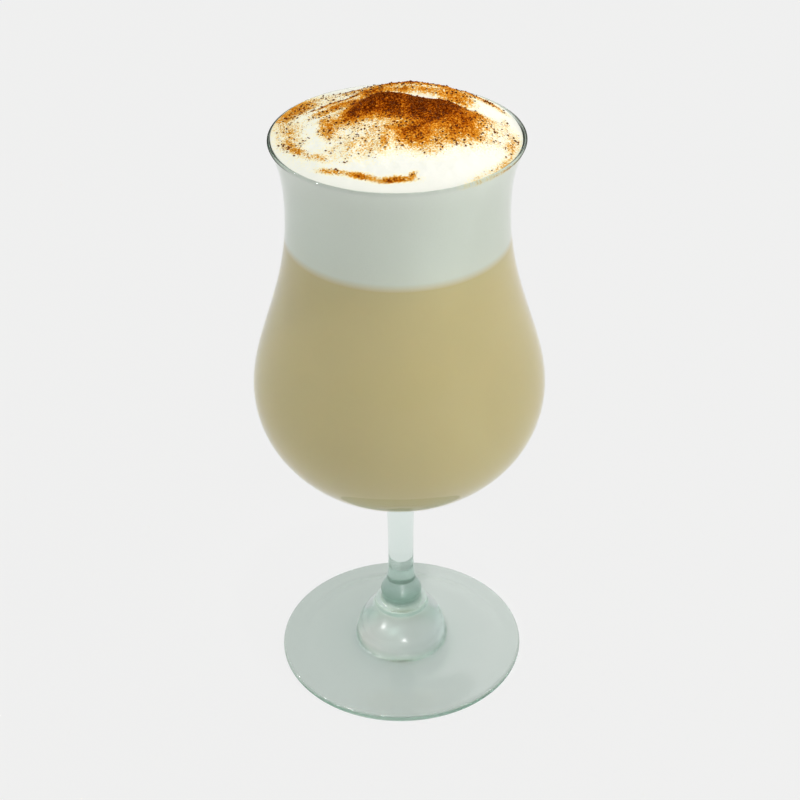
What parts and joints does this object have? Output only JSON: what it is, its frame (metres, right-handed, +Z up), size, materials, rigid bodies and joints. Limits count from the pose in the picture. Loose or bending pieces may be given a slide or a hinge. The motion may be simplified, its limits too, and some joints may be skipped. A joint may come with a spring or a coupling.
{
  "type": "chai latte in a stemmed tulip glass",
  "caption": "Milky chai tea under a heaped, cinnamon-dusted milk foam, in a clear tulip-shaped glass on a short stem with a round foot.",
  "frame": {"origin": "on the glass's axis, on the surface that its foot stands on", "axes": "+Z up along the glass's axis; -Y towards the side from which the front streak of cinnamon is nearest"},
  "size_m": [0.0864, 0.0864, 0.1917],
  "materials": {
    "glass": "clear soda-lime glass with a faint green tint, polished",
    "tea": "milky beige tea, smooth against the glass",
    "foam": "matt white milk foam with fine bubbles, dusted with cinnamon"
  },
  "bodies": {
    "root": {"glass": "glass", "chai": "tea", "foam": "foam"}
  },
  "joints": []
}
